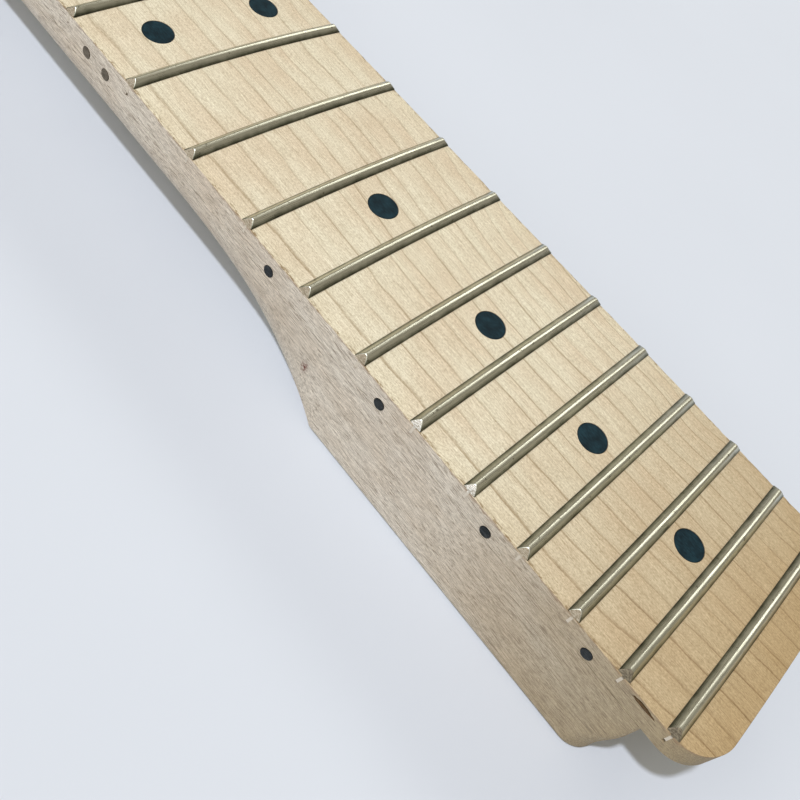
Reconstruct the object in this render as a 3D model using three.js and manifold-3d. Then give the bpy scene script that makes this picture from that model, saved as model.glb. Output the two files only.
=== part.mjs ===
// A bolt-on electric guitar neck in bare maple: a carved neck shaft with its heel and headstock, a glued-on
// fretboard with a rounded face that overhangs the heel, 22 frets pressed into sawn slots, a slotted bone nut,
// black position dots, and a two-way truss rod whose socket nut is reached from the headstock.
//
// Millimetres. +X runs along the neck from the nut to the body end, +Z is up out of the playing face, and -Y is
// the bass side. The origin is the centre of the heel's flat mounting face.
import * as THREE from "three";
import { mergeVertices } from "three/addons/utils/BufferGeometryUtils.js";
import Module from "manifold-3d";

const wasm = await Module();
wasm.setup();

// Playing face
const scaleLength = 648;
const fretCount = 22;
const semitones = 12;
const nutWidth = 43;
const lastFretWidth = 57.2;
const boardRadius = 400;
const boardThickness = 6.2;
const boardBeyondLastFret = 8.5;
const boardOverhang = 11.2;
const boardCornerRadius = 9.5;
const boardArcSteps = 8;

// Neck wood
const neckDepth = 26.2;
const heelLength = 74;
const heelCornerRadius = 5;
const shaftDepthAtNut = 20.6;
const shaftDepthAtTwelfth = 22.2;
const shoulderDrop = 0.8;
const heelCarveLength = 50;
const heelCarvePower = 2.15;
const heelEdgeRadius = 1.3;
const heelCarveSteps = 18;
const shaftSteps = 4;
const sectionSteps = 4;
const sideWallAllowance = 0.05;

// Headstock
const headstockThickness = 14.5;
const shelfBehindNut = 5.5;
const rampRadius = 22;
const bassFlareLength = 30;
const flareStart = 4;
const tunerSpacing = 24.5;
const tunerHoleRadius = 5;
const tunerCount = 6;
const firstTunerFromNut = 38;
const tunerPostOffset = 2.75;
const edgeFromTuners = 13.5;
const tipFromLastTuner = 10;
const tipRadius = 16;
const headCarveLength = 36;
const headCarveInsideNut = 10;
const headCarveHalfWidth = 60;

// Frets
const fretCrownWidth = 2.6;
const fretCrownHeight = 1.15;
const fretTangWidth = 0.5;
const fretTangDepth = 1.7;
const fretEndBevelAngle = THREE.MathUtils.degToRad(40);
const fretSlotWidth = 0.7;
const fretSlotDepth = 2;
const seatGap = 0.05;

// Nut
const nutThickness = 3.2;
const nutDepthInBoard = 2.6;
const nutHeightOverBoard = 2.1;
const outerStringFromEdge = 3.75;
const stringSlotDepth = 1.1;
const stringSlotWidths = [1.35, 1.1, 0.85, 0.65, 0.5, 0.45];

// Position dots
const dotRadius = 3.1;
const dotDepth = 2;
const twelfthDotSpread = 26.6;
const sideDotRadius = 1.15;
const sideDotDepth = 3;
const sideDotBelowFace = 4.5;
const twelfthSideDotSpread = 6.1;
const markedFrets = [3, 5, 7, 9, 12, 15, 17, 19, 21];

// Truss rod
const rodRadius = 2.5;
const rodHeight = 15;
const rodBoreRadius = 2.6;
const barThickness = 3.2;
const barWidth = 6.2;
const blockLength = 12;
const blockHeight = 9.8;
const channelWidth = 6.6;
const channelFloor = 8.9;
const channelEndWood = 14;
const rodEndInBlock = 2;
const socketNutRadius = 4;
const socketNutLength = 13;
const socketNutBehindNut = 1;
const socketAcrossFlats = 4;
const socketSides = 6;
const socketDepth = 8;
const accessWidth = 9;
const accessFloor = 10.7;
const accessLength = 44;

// Heel screw pilot holes
const pilotRadius = 1.5;
const pilotDepth = 17;
const pilotSpacingAlong = 50.8;
const pilotSpacingAcross = 38.1;

const roundSteps = 24;
const smallRoundSteps = 12;
const overrun = 2; // how far every cutter runs past the wood
const glueLine = 0.05;

// Places worked out from the sizes above
const fretDistance = (n) => scaleLength * (1 - 2 ** (-n / semitones));
const lastFret = fretDistance(fretCount);
const boardEnd = lastFret + boardBeyondLastFret;
const heelEnd = boardEnd - boardOverhang;
const heelStart = heelEnd - heelLength;
const originFromNut = heelEnd - heelLength / 2;
const alongNeck = (fromNut) => fromNut - originFromNut;
const neckTop = neckDepth - boardThickness; // where the fretboard is glued on
const boardUnderside = neckTop + glueLine;
const halfWidthAt = (fromNut) =>
  (nutWidth + (lastFretWidth - nutWidth) * Math.max(fromNut, 0) / lastFret) / 2;
const faceHeight = (y) => neckDepth - boardRadius + Math.sqrt(boardRadius ** 2 - y ** 2);
const boardHeadEnd = -(nutThickness + shelfBehindNut);
const rampCentreHeight = headstockThickness + rampRadius;
const rampCentre = boardHeadEnd - Math.sqrt(rampRadius ** 2 - (rampCentreHeight - neckDepth) ** 2);
const stringSpacingAtNut = (nutWidth - 2 * outerStringFromEdge) / (tunerCount - 1);
const clampShare = (t) => Math.min(Math.max(t, 0), 1);
const smooth = (t) => clampShare(t) ** 2 * (3 - 2 * clampShare(t));

// Geometry helpers: a closed three.js geometry becomes a solid for cutting and joining, and comes back
function solidOf(geometry) {
  const bare = geometry.index ? geometry.toNonIndexed() : geometry.clone();
  bare.deleteAttribute("normal");
  bare.deleteAttribute("uv");
  const merged = mergeVertices(bare);
  return new wasm.Manifold(new wasm.Mesh({
    numProp: 3,
    vertProperties: merged.attributes.position.array,
    triVerts: new Uint32Array(merged.index.array),
  }));
}

function geometryOf(solid) {
  const mesh = solid.getMesh();
  const geometry = new THREE.BufferGeometry();
  geometry.setAttribute("position", new THREE.BufferAttribute(new Float32Array(mesh.vertProperties), 3));
  geometry.setIndex(new THREE.BufferAttribute(new Uint32Array(mesh.triVerts), 1));
  return geometry;
}

const cutAll = (solid, cutters) => cutters.reduce((rest, cutter) => rest.subtract(cutter), solid);

// Shapes drawn in plan are raised along Z, in side view (x, z) run across Y, in end view (y, z) run along X
const extruded = (shape, depth, curveSegments) =>
  new THREE.ExtrudeGeometry(shape, { depth, bevelEnabled: false, curveSegments });

const raised = (shape, from, height) =>
  extruded(shape, height, smallRoundSteps).translate(0, 0, from);

const acrossNeck = (shape, width) =>
  extruded(shape, width, roundSteps).rotateX(Math.PI / 2).translate(0, width / 2, 0);

const alongX = (shape, from, length) =>
  extruded(shape, length, roundSteps)
    .rotateX(Math.PI / 2)
    .rotateZ(Math.PI / 2)
    .translate(from, 0, 0);

const box = (low, high) =>
  new THREE.BoxGeometry(high[0] - low[0], high[1] - low[1], high[2] - low[2])
    .translate((low[0] + high[0]) / 2, (low[1] + high[1]) / 2, (low[2] + high[2]) / 2);

const uprightHole = (x, y, low, high, radius, steps) =>
  new THREE.CylinderGeometry(radius, radius, high - low, steps)
    .rotateX(Math.PI / 2)
    .translate(x, y, (low + high) / 2);

const lengthwiseRod = (from, to, height, radius, steps) =>
  new THREE.CylinderGeometry(radius, radius, to - from, steps)
    .rotateZ(-Math.PI / 2)
    .translate((from + to) / 2, 0, height);

// Joins profiles with equal numbers of points into one closed body
function loft(stations, profileAt, place) {
  const profiles = stations.map(profileAt);
  const count = profiles[0].length;
  const points = [];
  profiles.forEach((profile, i) => profile.forEach((p) => points.push(place(p, stations[i]))));
  const faces = [];
  for (let i = 0; i + 1 < stations.length; i++) {
    for (let j = 0; j < count; j++) {
      const [a, b] = [i * count + j, i * count + (j + 1) % count];
      faces.push(a, b, b + count, a, b + count, a + count);
    }
  }
  const last = (stations.length - 1) * count;
  for (const [a, b, c] of THREE.ShapeUtils.triangulateShape(profiles[0], [])) {
    faces.push(c, b, a);
  }
  for (const [a, b, c] of THREE.ShapeUtils.triangulateShape(profiles.at(-1), [])) {
    faces.push(last + a, last + b, last + c);
  }
  const geometry = new THREE.BufferGeometry().setFromPoints(points);
  geometry.setIndex(faces);
  return geometry;
}

// Headstock outline, as distances from the nut towards the tip and out to the bass or treble side
const tunerSide = stringSpacingAtNut / tunerSpacing; // each post steps over by one string
const tunerAlong = Math.sqrt(1 - tunerSide ** 2);
const outermostString = stringSpacingAtNut * (tunerCount - 1) / 2;
const firstTunerOut = outermostString + tunerPostOffset;
const tuners = Array.from({ length: tunerCount }, (_, k) => ({
  fromNut: firstTunerFromNut + k * tunerSpacing * tunerAlong,
  toBass: firstTunerOut - k * tunerSpacing * tunerSide,
}));
const bassLine = (u) =>
  firstTunerOut + edgeFromTuners / tunerAlong - (u - firstTunerFromNut) * tunerSide / tunerAlong;
const bassFlareEnd = flareStart + bassFlareLength;
const bassEdge = (u) =>
  nutWidth / 2 + (bassLine(u) - nutWidth / 2) * smooth((u - flareStart) / bassFlareLength);
const tipCentre = tuners.at(-1).fromNut + tipFromLastTuner;
const tipToBass = bassLine(tipCentre) - tipRadius / tunerAlong;
const tipTreble = tipRadius - tipToBass;
const trebleEdge = (u) =>
  nutWidth / 2 + (tipTreble - nutWidth / 2) * smooth((u - flareStart) / (tipCentre - flareStart));

// The neck as bandsawn from the blank: heel, tapered shaft and headstock in one plan outline
function neckPlan() {
  const shape = new THREE.Shape();
  const cornerX = alongNeck(heelEnd - heelCornerRadius);
  const cornerY = halfWidthAt(heelEnd) - heelCornerRadius;
  shape.moveTo(alongNeck(-flareStart), trebleEdge(flareStart));
  shape.lineTo(alongNeck(0), nutWidth / 2);
  shape.absarc(cornerX, cornerY, heelCornerRadius, Math.PI / 2, 0, true);
  shape.absarc(cornerX, -cornerY, heelCornerRadius, 0, -Math.PI / 2, true);
  shape.lineTo(alongNeck(0), -nutWidth / 2);
  for (let i = 0; i <= smallRoundSteps; i++) {
    const u = flareStart + bassFlareLength * i / smallRoundSteps;
    shape.lineTo(alongNeck(-u), -bassEdge(u));
  }
  const bassTangent = Math.PI + Math.atan2(tunerAlong, tunerSide);
  shape.absarc(alongNeck(-tipCentre), -tipToBass, tipRadius, bassTangent, Math.PI / 2, true);
  for (let i = smallRoundSteps - 1; i > 0; i--) {
    const u = flareStart + (tipCentre - flareStart) * i / smallRoundSteps;
    shape.lineTo(alongNeck(-u), trebleEdge(u));
  }
  return shape;
}

// How square the back is: 0 where the shaft is a rounded C, 1 at the flat heel and at the flat headstock
function squareness(fromNut) {
  const heel = 1 - clampShare((heelStart - fromNut) / heelCarveLength);
  const head = smooth((headCarveInsideNut - fromNut) / headCarveLength);
  return Math.max(heel ** heelCarvePower, head);
}

function backHeight(fromNut) {
  const along = fromNut / fretDistance(semitones);
  const shaftDepth = shaftDepthAtNut + (shaftDepthAtTwelfth - shaftDepthAtNut) * Math.max(along, 0);
  return (neckDepth - shaftDepth) * (1 - squareness(fromNut));
}

function carveHalfWidth(fromNut) {
  const neckSide = halfWidthAt(fromNut) + sideWallAllowance;
  return fromNut > headCarveInsideNut
    ? neckSide
    : THREE.MathUtils.lerp(neckSide, headCarveHalfWidth, squareness(fromNut) ** 2);
}

// Half of a section with rounded corners, as steps from the cheek's top to the middle of the back. Each step is a
// distance out from the middle and a distance down from the shoulder.
function squareHalf(half, depth) {
  const corner = Array.from({ length: sectionSteps + 1 }, (_, i) => {
    const angle = Math.PI / 2 * i / sectionSteps;
    return [half - heelEdgeRadius * (1 - Math.cos(angle)), depth - heelEdgeRadius * (1 - Math.sin(angle))];
  });
  const cheek = Array.from({ length: sectionSteps }, (_, i) =>
    [half, (depth - heelEdgeRadius) * i / sectionSteps]);
  const flat = Array.from({ length: sectionSteps }, (_, i) =>
    [(half - heelEdgeRadius) * (1 - (i + 1) / sectionSteps), depth]);
  return [...cheek, ...corner, ...flat];
}

// One section of the carved back, from half an ellipse on the shaft to a rounded square at the heel
function carveProfile(fromNut) {
  const half = carveHalfWidth(fromNut);
  const shoulder = neckTop - shoulderDrop;
  const depth = shoulder - backHeight(fromNut);
  const square = squareness(fromNut);
  const side = squareHalf(half, depth).map(([out, down], i, steps) => {
    const angle = Math.PI / 2 * (1 - i / (steps.length - 1));
    return [
      THREE.MathUtils.lerp(half * Math.sin(angle), out, square),
      THREE.MathUtils.lerp(depth * Math.cos(angle), down, square),
    ];
  });
  const rightSide = side.map(([out, down]) => new THREE.Vector2(out, shoulder - down));
  const leftSide = side.slice(0, -1).map(([out, down]) => new THREE.Vector2(-out, shoulder - down));
  return [
    new THREE.Vector2(-half, neckTop),
    ...leftSide,
    ...rightSide.toReversed(),
    new THREE.Vector2(half, neckTop),
  ];
}

function carveStations() {
  const steps = (from, to, count) => Array.from({ length: count }, (_, i) => from + (to - from) * i / count);
  const headEnd = headCarveInsideNut - headCarveLength;
  const carveStart = heelStart - heelCarveLength;
  return [
    -(tipCentre + tipRadius + overrun),
    ...steps(headEnd, headCarveInsideNut, smallRoundSteps),
    ...steps(headCarveInsideNut, carveStart, shaftSteps),
    ...steps(carveStart, heelStart, heelCarveSteps),
    heelStart,
    heelEnd + overrun,
  ];
}

// Side view of what the headstock face drop takes away: flat over the headstock, a round ramp up behind the nut
function faceDropCutter() {
  const shape = new THREE.Shape();
  const farEnd = alongNeck(-(tipCentre + tipRadius + overrun));
  shape.moveTo(farEnd, rampCentreHeight);
  shape.lineTo(farEnd, headstockThickness);
  shape.absarc(alongNeck(rampCentre), rampCentreHeight, rampRadius, -Math.PI / 2, 0, false);
  return solidOf(acrossNeck(shape, 2 * headCarveHalfWidth + overrun));
}

const channelStart = -(nutThickness + socketNutBehindNut) + glueLine;
const channelEnd = heelEnd - channelEndWood;

// Routed from the top: the rod's slot under the fretboard, and the wider way in behind the nut with a round end
function trussCutters() {
  const slot = box(
    [alongNeck(channelStart), -channelWidth / 2, channelFloor],
    [alongNeck(channelEnd), channelWidth / 2, neckTop + overrun],
  );
  const access = new THREE.Shape();
  access.moveTo(alongNeck(channelStart), accessWidth / 2);
  access.lineTo(alongNeck(-accessLength), accessWidth / 2);
  access.absarc(alongNeck(-accessLength), 0, accessWidth / 2, Math.PI / 2, -Math.PI / 2, false);
  access.lineTo(alongNeck(channelStart), -accessWidth / 2);
  return [solidOf(slot), solidOf(raised(access, accessFloor, neckTop + overrun - accessFloor))];
}

function neckShaft() {
  const carved = loft(carveStations(), carveProfile, (p, d) => new THREE.Vector3(alongNeck(d), p.x, p.y));
  const blank = solidOf(raised(neckPlan(), -overrun, neckTop + 2 * overrun));
  const tunerHoles = tuners.map(({ fromNut, toBass }) => solidOf(uprightHole(
    alongNeck(-fromNut), -toBass, -overrun, headstockThickness + overrun, tunerHoleRadius, roundSteps,
  )));
  const pilotHoles = [-1, 1].flatMap((i) => [-1, 1].map((j) => solidOf(uprightHole(
    i * pilotSpacingAlong / 2, j * pilotSpacingAcross / 2, -overrun, pilotDepth, pilotRadius, smallRoundSteps,
  ))));
  return cutAll(blank.intersect(solidOf(carved)), [
    faceDropCutter(), ...trussCutters(), ...tunerHoles, ...pilotHoles,
  ]);
}

// Fretboard. Its face is one round over the whole length, drawn with the same steps that the frets follow.
const blankHalfWidth = lastFretWidth / 2 + overrun;
const faceStations = Array.from({ length: boardArcSteps + 1 }, (_, i) =>
  blankHalfWidth * (2 * i / boardArcSteps - 1));

function boardBlank() {
  const section = new THREE.Shape();
  section.moveTo(-blankHalfWidth, boardUnderside);
  section.lineTo(blankHalfWidth, boardUnderside);
  faceStations.toReversed().forEach((y) => section.lineTo(y, faceHeight(y)));
  const plan = new THREE.Shape();
  const cornerX = alongNeck(boardEnd - boardCornerRadius);
  const cornerY = halfWidthAt(boardEnd) - boardCornerRadius;
  const headX = alongNeck(rampCentre);
  plan.moveTo(headX, -nutWidth / 2);
  plan.lineTo(alongNeck(0), -nutWidth / 2);
  plan.absarc(cornerX, -cornerY, boardCornerRadius, -Math.PI / 2, 0, false);
  plan.absarc(cornerX, cornerY, boardCornerRadius, 0, Math.PI / 2, false);
  plan.lineTo(alongNeck(0), nutWidth / 2);
  plan.lineTo(headX, nutWidth / 2);
  return solidOf(alongX(section, headX, boardEnd - rampCentre))
    .intersect(solidOf(raised(plan, 0, neckDepth + overrun)))
    .subtract(faceDropCutter());
}

const markPlace = (n) => alongNeck((fretDistance(n - 1) + fretDistance(n)) / 2);
const twoDigits = (n) => String(n).padStart(2, "0");

// One dot at each marked fret, and two at the twelfth: across the face, and along the edge
function dotPlaces(kind, spread, [firstEnd, secondEnd]) {
  return markedFrets.flatMap((n) => {
    const name = `${kind}_${twoDigits(n)}`;
    return n === semitones
      ? [{ name: name + firstEnd, n, step: -spread / 2 }, { name: name + secondEnd, n, step: spread / 2 }]
      : [{ name, n, step: 0 }];
  });
}
const faceDots = dotPlaces("face_dot", twelfthDotSpread, ["_bass", "_treble"])
  .map(({ name, n, step }) => ({ name, x: markPlace(n), y: step }));
const sideDots = dotPlaces("side_dot", twelfthSideDotSpread, ["_nut_side", "_body_side"])
  .map(({ name, n, step }) => ({ name, x: markPlace(n) + step }));

const faceDotPlug = ({ x, y }, clearance) => solidOf(uprightHole(
  x, y, faceHeight(y) - dotDepth + clearance, neckDepth + overrun, dotRadius - clearance, roundSteps,
));

// A side dot is a round plug let into the board's bass edge, so it lies along Y
function sideDotPlug({ x }, clearance) {
  const wall = halfWidthAt(x + originFromNut);
  const length = sideDotDepth + overrun - clearance;
  return solidOf(new THREE.CylinderGeometry(
    sideDotRadius - clearance, sideDotRadius - clearance, length, smallRoundSteps,
  ).translate(x, -wall - overrun + length / 2, neckDepth - sideDotBelowFace));
}

const slotFloor = faceHeight(lastFretWidth / 2) - fretSlotDepth;

function fretboard(blank) {
  const slots = Array.from({ length: fretCount }, (_, i) => {
    const x = alongNeck(fretDistance(i + 1));
    return solidOf(box(
      [x - fretSlotWidth / 2, -blankHalfWidth, slotFloor],
      [x + fretSlotWidth / 2, blankHalfWidth, neckDepth + overrun],
    ));
  });
  const nutSlot = solidOf(box(
    [alongNeck(-nutThickness - seatGap), -blankHalfWidth, nutFloor - seatGap],
    [alongNeck(0), blankHalfWidth, neckDepth + overrun],
  ));
  return cutAll(blank, [
    ...slots, nutSlot,
    ...faceDots.map((dot) => faceDotPlug(dot, 0)),
    ...sideDots.map((dot) => sideDotPlug(dot, 0)),
  ]);
}

// A fret is T-section wire bent to the face. Its crown ends are filed to a bevel and its tang runs to the edge.
function fret(n) {
  const edge = halfWidthAt(fretDistance(n));
  const crownEnd = edge - fretCrownHeight * Math.tan(fretEndBevelAngle);
  const inner = faceStations.filter((y) => Math.abs(y) < crownEnd - fretCrownWidth);
  const crown = Array.from({ length: smallRoundSteps / 2 + 1 }, (_, i) => {
    const angle = -Math.PI / 2 + 2 * Math.PI * i / smallRoundSteps;
    return new THREE.Vector2(fretCrownHeight * Math.cos(angle), fretCrownWidth / 2 * Math.sin(angle));
  });
  const tang = [[0, 1], [-1, 1], [-1, -1], [0, -1]].map(([down, side]) =>
    new THREE.Vector2(down * fretTangDepth, side * fretTangWidth / 2));
  const profile = [...crown, ...tang];
  const place = (p, y) => {
    const bevel = Math.max(p.x, 0) * Math.tan(fretEndBevelAngle);
    const across = Math.abs(y) === edge ? Math.sign(y) * (edge - bevel) : y;
    return new THREE.Vector3(p.y, across, faceHeight(across) + seatGap + p.x);
  };
  return loft([-edge, ...inner, edge], () => profile, place);
}

// Bone nut, end view: flat foot, top rounded with the face, one square-bottomed slot per string
const nutFloor = faceHeight(nutWidth / 2) - nutDepthInBoard;

function nut() {
  const half = nutWidth / 2 - seatGap;
  const top = (y) => faceHeight(y) + nutHeightOverBoard;
  const shape = new THREE.Shape();
  shape.moveTo(-half, nutFloor);
  shape.lineTo(half, nutFloor);
  shape.lineTo(half, top(half));
  for (let i = tunerCount - 1; i >= 0; i--) {
    const y = i * stringSpacingAtNut - outermostString;
    const slot = stringSlotWidths[i] / 2;
    shape.lineTo(y + slot, top(y));
    shape.lineTo(y + slot, top(y) - stringSlotDepth);
    shape.lineTo(y - slot, top(y) - stringSlotDepth);
    shape.lineTo(y - slot, top(y));
  }
  shape.lineTo(-half, top(half));
  return alongX(shape, alongNeck(-nutThickness), nutThickness - seatGap);
}

// Two-way truss rod: a threaded rod turning in an end block at each end, over a flat bar
const firstBlock = -nutThickness + blockLength / 2;
const lastBlock = channelEnd - blockLength / 2 - glueLine;
const blockFloor = channelFloor + glueLine;

function rodBlock(centre) {
  const body = solidOf(box(
    [alongNeck(centre - blockLength / 2), -barWidth / 2, blockFloor],
    [alongNeck(centre + blockLength / 2), barWidth / 2, blockFloor + blockHeight],
  ));
  const bore = lengthwiseRod(
    alongNeck(centre - blockLength / 2) - overrun, alongNeck(centre + blockLength / 2) + overrun,
    rodHeight, rodBoreRadius / Math.cos(Math.PI / roundSteps), roundSteps,
  );
  return body.subtract(solidOf(bore));
}

function flatBar() {
  return box(
    [alongNeck(firstBlock + blockLength / 2 + glueLine), -barWidth / 2, blockFloor],
    [alongNeck(lastBlock - blockLength / 2 - glueLine), barWidth / 2, blockFloor + barThickness],
  );
}

// The rod and its socket nut are welded together and turn as one
function rodWithSocketNut() {
  const nutFace = -nutThickness - socketNutBehindNut;
  const rod = lengthwiseRod(
    alongNeck(nutFace - socketNutLength / 2), alongNeck(lastBlock + blockLength / 2 - rodEndInBlock),
    rodHeight, rodRadius, roundSteps,
  );
  const barrel = lengthwiseRod(
    alongNeck(nutFace - socketNutLength), alongNeck(nutFace), rodHeight, socketNutRadius, roundSteps,
  );
  const socket = lengthwiseRod(
    alongNeck(nutFace - socketNutLength) - overrun, alongNeck(nutFace - socketNutLength + socketDepth),
    rodHeight, socketAcrossFlats / 2 / Math.cos(Math.PI / socketSides), socketSides,
  );
  return solidOf(rod).add(solidOf(barrel)).subtract(solidOf(socket));
}

// Finishes
const finish = (color, roughness, metalness) => new THREE.MeshStandardMaterial({ color, roughness, metalness });
const sideMaple = finish("#cdbfae", 0.75, 0);
const faceMaple = finish("#e2d2ae", 0.7, 0);
const nickelSilver = finish("#b3ad97", 0.32, 1);
const bone = finish("#ece6d6", 0.45, 0);
const blackDot = finish("#1b2d33", 0.4, 0);
const steel = finish("#6d6f72", 0.4, 1);
const brass = finish("#b59a58", 0.4, 1);

const neck = new THREE.Group();

function add(name, shape, material, x = 0) {
  const geometry = shape.isBufferGeometry ? shape : geometryOf(shape);
  geometry.computeVertexNormals();
  const mesh = new THREE.Mesh(geometry, material);
  mesh.name = name;
  mesh.position.x = x;
  neck.add(mesh);
}

const blank = boardBlank();
add("neck_shaft", neckShaft(), sideMaple);
add("fretboard", fretboard(blank), faceMaple);
for (let n = 1; n <= fretCount; n++) {
  add(`fret_${twoDigits(n)}`, fret(n), nickelSilver, alongNeck(fretDistance(n)));
}
add("nut", nut(), bone);
for (const dot of faceDots) {
  add(dot.name, blank.intersect(faceDotPlug(dot, seatGap)), blackDot);
}
for (const dot of sideDots) {
  add(dot.name, blank.intersect(sideDotPlug(dot, seatGap)), blackDot);
}
add("truss_rod", rodWithSocketNut(), steel);
add("truss_rod_bar", flatBar(), steel);
add("truss_block_nut_end", rodBlock(firstBlock), brass);
add("truss_block_heel_end", rodBlock(lastBlock), brass);

export default neck;
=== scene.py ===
import math

import bmesh
import bpy
from mathutils import Matrix, Vector, noise


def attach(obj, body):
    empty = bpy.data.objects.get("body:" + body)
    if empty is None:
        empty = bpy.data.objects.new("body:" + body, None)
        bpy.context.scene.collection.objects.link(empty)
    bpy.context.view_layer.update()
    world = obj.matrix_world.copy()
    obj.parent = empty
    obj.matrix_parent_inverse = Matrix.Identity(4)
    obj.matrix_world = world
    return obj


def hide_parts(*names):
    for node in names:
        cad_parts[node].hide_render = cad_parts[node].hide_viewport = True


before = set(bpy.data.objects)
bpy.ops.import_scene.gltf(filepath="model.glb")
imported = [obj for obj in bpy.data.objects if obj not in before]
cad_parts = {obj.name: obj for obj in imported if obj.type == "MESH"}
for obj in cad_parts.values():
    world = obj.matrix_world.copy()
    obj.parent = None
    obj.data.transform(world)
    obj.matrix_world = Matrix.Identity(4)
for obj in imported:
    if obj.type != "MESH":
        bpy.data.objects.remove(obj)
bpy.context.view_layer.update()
print("frame loaded,", len(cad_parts), "CAD nodes")


# Shared helpers. Pieces are drawn in millimetres and scaled to metres at the end.

perMetre = 1000
beyond = 35  # further out than any part of the neck, for cuts that run through


def linear(hexColour):
    parts = [int(hexColour[i:i + 2], 16) / 255 for i in (1, 3, 5)]
    return tuple(c / 12.92 if c <= 0.04045 else ((c + 0.055) / 1.055) ** 2.4 for c in parts) + (1.0,)


def blendOf(a, b, share):
    return a + (b - a) * share


def smoothShare(t):
    t = min(max(t, 0.0), 1.0)
    return t * t * (3 - 2 * t)


def steps(start, end, count):
    return [start + (end - start) * i / count for i in range(count)]


# Extrudes a ring of edges from section to section and closes both ends
def loft(sections):
    bm = bmesh.new()
    ring = bmesh.ops.create_circle(bm, segments=len(sections[0]), radius=1)["verts"]
    edges = firstEdges = list(bm.edges)
    for v, place in zip(ring, sections[0]):
        v.co = place
    for section in sections[1:]:
        made = bmesh.ops.extrude_edge_only(bm, edges=edges)["geom"]
        order = {v: i for i, v in enumerate(ring)}
        new = [None] * len(ring)
        for v in (g for g in made if isinstance(g, bmesh.types.BMVert)):
            old = next(e.other_vert(v) for e in v.link_edges if e.other_vert(v) in order)
            new[order[old]] = v
        ring = new
        members = set(ring)
        edges = [e for e in made if isinstance(e, bmesh.types.BMEdge) and set(e.verts) <= members]
        for v, place in zip(ring, section):
            v.co = place
    bmesh.ops.contextual_create(bm, geom=firstEdges)
    bmesh.ops.contextual_create(bm, geom=edges)
    bmesh.ops.recalc_face_normals(bm, faces=bm.faces)
    return bm


def boxCutter(low, high):
    bm = bmesh.new()
    bmesh.ops.create_cube(bm, size=1)
    bmesh.ops.scale(bm, vec=Vector(high) - Vector(low), verts=bm.verts)
    bmesh.ops.translate(bm, vec=(Vector(high) + Vector(low)) / 2, verts=bm.verts)
    return bm


# How much a rounded edge has drawn in, at this distance before its end
def roundedIn(radius, toEnd):
    return radius - math.sqrt(max(radius ** 2 - max(radius - toEnd, 0) ** 2, 0))


def roundCutter(centre, radius, length, axis="Z", segments=48):
    bm = bmesh.new()
    bmesh.ops.create_cone(bm, cap_ends=True, segments=segments, radius1=radius, radius2=radius, depth=length)
    if axis != "Z":
        turn = {"X": "Y", "Y": "X"}[axis]
        bmesh.ops.rotate(bm, verts=bm.verts, matrix=Matrix.Rotation(math.pi / 2, 3, turn))
    bmesh.ops.translate(bm, vec=centre, verts=bm.verts)
    return bm


def meshObject(name, bm, materials=()):
    bmesh.ops.scale(bm, vec=(1 / perMetre,) * 3, verts=bm.verts)
    mesh = bpy.data.meshes.new(name)
    bm.to_mesh(mesh)
    bm.free()
    for material in materials:
        mesh.materials.append(material)
    piece = bpy.data.objects.new(name, mesh)
    bpy.context.scene.collection.objects.link(piece)
    return piece


# Cuts every cutter out of the piece, and keeps the result as its mesh
def cutOut(piece, cutters):
    tools = [meshObject("cutter", bm) for bm in cutters]
    for tool in tools:
        cut = piece.modifiers.new("cut", "BOOLEAN")
        cut.operation = "DIFFERENCE"
        cut.solver = "EXACT"
        cut.object = tool
    graph = bpy.context.evaluated_depsgraph_get()
    made = bpy.data.meshes.new_from_object(piece.evaluated_get(graph))
    piece.modifiers.clear()
    piece.data = made
    for tool in tools:
        bpy.data.objects.remove(tool)


def finishPiece(piece, body, slotName, *nodes, sharpAngle=35):
    for face in piece.data.polygons:
        face.use_smooth = True
    piece.data.set_sharp_from_angle(angle=math.radians(sharpAngle))
    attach(piece, body)
    if nodes:
        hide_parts(*nodes)


# Adds one node with its settings, links and ramp stops
def addNode(tree, kind, inputs=None, stops=None, **settings):
    made = tree.nodes.new("ShaderNode" + kind)
    for name, value in settings.items():
        setattr(made, name, value)
    for key, value in (inputs or {}).items():
        if isinstance(value, bpy.types.NodeSocket):
            tree.links.new(value, made.inputs[key])
        else:
            made.inputs[key].default_value = value
    if stops:
        ramp = made.color_ramp
        while len(ramp.elements) < len(stops):
            ramp.elements.new(1.0)
        for element, (at, colour) in zip(ramp.elements, stops):
            element.position = at
            element.color = linear(colour)
    return made


def newMaterial(name):
    material = bpy.data.materials.new(name)
    material.use_nodes = True
    material.node_tree.nodes.clear()
    return material, material.node_tree


# Joins a surface to its output, with a pattern as relief, whose strength and depth in millimetres are given
def closeMaterial(tree, surface, pattern=None, relief=None):
    if relief:
        surface["Normal"] = addNode(tree, "Bump", {
            "Height": pattern, "Strength": relief[0], "Distance": relief[1] / perMetre,
        }).outputs[0]
    shader = addNode(tree, "BsdfPrincipled", surface)
    addNode(tree, "OutputMaterial", {"Surface": shader.outputs[0]})


# Camera, where the photograph was taken from

cameraPlace = {
    "focalPixels": 991.25,
    "imagePixels": 800,
    "sensor": 36.0,
    "centre": (0.0011586, -0.1256944, 0.1532179),
    "right": (0.64922089, 0.64615863, 0.40123716),
    "down": (0.73189894, -0.38717885, -0.56072853),
    "forward": (-0.20696903, 0.65770173, -0.72428741),
    "middle": (430, 320),  # where the lens axis meets the picture, because the photograph is a crop
    "clip": (0.005, 50),
}


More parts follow.
